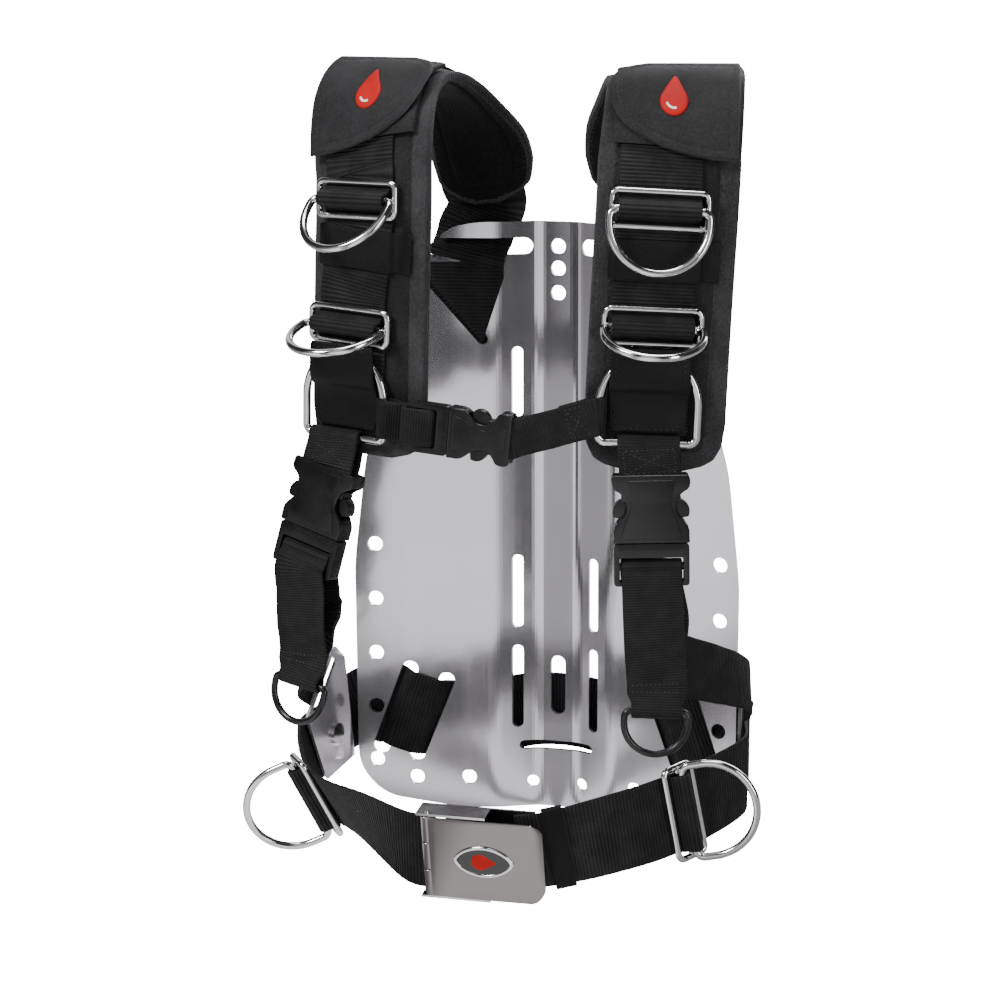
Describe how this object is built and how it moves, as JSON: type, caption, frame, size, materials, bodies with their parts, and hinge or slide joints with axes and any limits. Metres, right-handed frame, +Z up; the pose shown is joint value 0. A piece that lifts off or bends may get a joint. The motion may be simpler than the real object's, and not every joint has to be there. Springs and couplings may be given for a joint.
{
  "type": "backplate harness buoyancy compensator",
  "caption": "Diving harness: bent steel backplate with padded shoulder straps, side-release buckles, chest strap, waist belt with lever buckle, and steel D-rings",
  "frame": {"origin": "centre of the middle tank bolt hole, on the back face of the plate's centre channel", "axes": "+X to the wearer's left (the viewer's right), +Y from the chest towards the tank, +Z up"},
  "size_m": [0.3379, 0.2286, 0.5065],
  "materials": {
    "plate_steel": "polished stainless sheet",
    "wire_steel": "polished stainless wire",
    "pad_cloth": "black nylon cloth with a woven, stitched border",
    "webbing": "black ribbed nylon webbing",
    "buckle_plastic": "satin black acetal",
    "keeper_rubber": "matt black elastic",
    "badge_red": "red print on a patch"
  },
  "bodies": {
    "harness": {"backplate": "plate_steel", "back_slides": "wire_steel", "bracket_rivets": "wire_steel", "belt_keeper": "keeper_rubber", "waist_frame": "wire_steel", "waist_pin": "wire_steel", "sternum_female": "buckle_plastic", "sternum_male": "buckle_plastic", "shoulder_pad_left": "pad_cloth", "shoulder_webbing_left": "webbing", "pad_sleeve_left": "pad_cloth", "strap_slides_left": "wire_steel", "chest_ring_left": "wire_steel", "ring_shield_left": "pad_cloth", "chest_tab_left": "webbing", "buckle_female_left": "buckle_plastic", "buckle_male_left": "buckle_plastic", "free_end_left": "webbing", "standing_strap_left": "webbing", "hip_bracket_left": "plate_steel", "waist_slide_left": "wire_steel", "waist_belt_left": "webbing", "sternum_strap_left": "webbing", "shoulder_pad_right": "pad_cloth", "shoulder_webbing_right": "webbing", "pad_sleeve_right": "pad_cloth", "strap_slides_right": "wire_steel", "chest_ring_right": "wire_steel", "ring_shield_right": "pad_cloth", "chest_tab_right": "webbing", "buckle_female_right": "buckle_plastic", "buckle_male_right": "buckle_plastic", "free_end_right": "webbing", "standing_strap_right": "webbing", "hip_bracket_right": "plate_steel", "waist_slide_right": "wire_steel", "waist_belt_right": "webbing", "sternum_strap_right": "webbing"},
    "ring_upper_left": {"d_ring_upper_left": "wire_steel"},
    "ring_lower_left": {"d_ring_lower_left": "wire_steel"},
    "ring_waist_left": {"waist_d_ring_left": "wire_steel"},
    "pull_left": {"pull_ring_left": "buckle_plastic"},
    "flap_left": {"pad_flap_left": "pad_cloth", "flap_badge_left": "badge_red"},
    "ring_upper_right": {"d_ring_upper_right": "wire_steel"},
    "ring_lower_right": {"d_ring_lower_right": "wire_steel"},
    "ring_waist_right": {"waist_d_ring_right": "wire_steel"},
    "pull_right": {"pull_ring_right": "buckle_plastic"},
    "flap_right": {"pad_flap_right": "pad_cloth", "flap_badge_right": "badge_red"},
    "lever": {"waist_lever": "plate_steel", "waist_badge": "badge_red"},
    "prong_inner_left": {"buckle_prong_inner_left": "buckle_plastic"},
    "prong_outer_left": {"buckle_prong_outer_left": "buckle_plastic"},
    "prong_inner_right": {"buckle_prong_inner_right": "buckle_plastic"},
    "prong_outer_right": {"buckle_prong_outer_right": "buckle_plastic"},
    "prong_upper": {"sternum_prong_upper": "buckle_plastic"},
    "prong_lower": {"sternum_prong_lower": "buckle_plastic"}
  },
  "joints": [
    {"name": "ring_upper_left_swing", "type": "hinge", "parent": "harness", "child": "ring_upper_left", "pos_m": [-0.09001, -0.14783, 0.05831], "axis": [-0.9509, 0.3087, -0.0219], "range_deg": [-35, 110]},
    {"name": "ring_lower_left_swing", "type": "hinge", "parent": "harness", "child": "ring_lower_left", "pos_m": [-0.09615, -0.14666, -0.02063], "axis": [-0.9503, 0.3103, 0.0253], "range_deg": [-50, 78]},
    {"name": "ring_waist_left_swing", "type": "hinge", "parent": "harness", "child": "ring_waist_left", "pos_m": [-0.12572, -0.14077, -0.32856], "axis": [0.3133, 0.3645, -0.8769], "range_deg": [-45, 70]},
    {"name": "pull_left_swing", "type": "hinge", "parent": "harness", "child": "pull_left", "pos_m": [-0.12166, -0.16583, -0.24363], "axis": [-0.9411, 0.3141, 0.1254], "range_deg": [-25, 100]},
    {"name": "flap_left_open", "type": "hinge", "parent": "harness", "child": "flap_left", "pos_m": [-0.12474, -0.11305, 0.1103], "axis": [0.016, -0.594, -0.8043], "range_deg": [0, 100]},
    {"name": "ring_upper_right_swing", "type": "hinge", "parent": "harness", "child": "ring_upper_right", "pos_m": [0.10555, -0.15123, 0.05856], "axis": [-0.9501, -0.3066, 0.0574], "range_deg": [-5, 140]},
    {"name": "ring_lower_right_swing", "type": "hinge", "parent": "harness", "child": "ring_lower_right", "pos_m": [0.10157, -0.15127, -0.01274], "axis": [-0.9492, -0.3106, 0.0498], "range_deg": [-50, 78]},
    {"name": "ring_waist_right_swing", "type": "hinge", "parent": "harness", "child": "ring_waist_right", "pos_m": [0.12744, -0.15572, -0.31199], "axis": [-0.1728, -0.0712, 0.9824], "range_deg": [-25, 45]},
    {"name": "pull_right_swing", "type": "hinge", "parent": "harness", "child": "pull_right", "pos_m": [0.10842, -0.1648, -0.24669], "axis": [-0.9552, -0.2935, 0.038], "range_deg": [-25, 100]},
    {"name": "flap_right_open", "type": "hinge", "parent": "harness", "child": "flap_right", "pos_m": [0.1451, -0.11026, 0.11337], "axis": [-0.1195, 0.6367, 0.7618], "range_deg": [0, 100]},
    {"name": "lever_open", "type": "hinge", "parent": "harness", "child": "lever", "pos_m": [-0.022, -0.21337, -0.33383], "axis": [0, 0.1903, -0.9817], "range_deg": [0, 110]},
    {"name": "prong_inner_left_squeeze", "type": "hinge", "parent": "harness", "child": "prong_inner_left", "pos_m": [-0.1021, -0.15587, -0.15289], "axis": [-0.2927, -0.9442, 0.1508], "range_deg": [0, 5], "stiffness_Nm_per_rad": 0.5},
    {"name": "prong_outer_left_squeeze", "type": "hinge", "parent": "harness", "child": "prong_outer_left", "pos_m": [-0.13079, -0.14597, -0.14659], "axis": [0.2927, 0.9442, -0.1508], "range_deg": [0, 5], "stiffness_Nm_per_rad": 0.5},
    {"name": "prong_inner_right_squeeze", "type": "hinge", "parent": "harness", "child": "prong_inner_right", "pos_m": [0.08602, -0.15466, -0.14502], "axis": [-0.2956, 0.9536, -0.0567], "range_deg": [0, 5], "stiffness_Nm_per_rad": 0.5},
    {"name": "prong_outer_right_squeeze", "type": "hinge", "parent": "harness", "child": "prong_outer_right", "pos_m": [0.11562, -0.14546, -0.1446], "axis": [0.2956, -0.9536, 0.0567], "range_deg": [0, 5], "stiffness_Nm_per_rad": 0.5},
    {"name": "prong_upper_squeeze", "type": "hinge", "parent": "harness", "child": "prong_upper", "pos_m": [-0.0222, -0.1695, -0.08618], "axis": [0, -1, 0], "range_deg": [0, 5], "stiffness_Nm_per_rad": 0.5},
    {"name": "prong_lower_squeeze", "type": "hinge", "parent": "harness", "child": "prong_lower", "pos_m": [-0.02073, -0.1695, -0.07025], "axis": [0, 1, 0], "range_deg": [0, 5], "stiffness_Nm_per_rad": 0.5}
  ],
  "couplings": [
    {"joint": "prong_outer_left_squeeze", "follows": "prong_inner_left_squeeze", "ratio": 1},
    {"joint": "prong_outer_right_squeeze", "follows": "prong_inner_right_squeeze", "ratio": 1},
    {"joint": "prong_lower_squeeze", "follows": "prong_upper_squeeze", "ratio": 1}
  ]
}
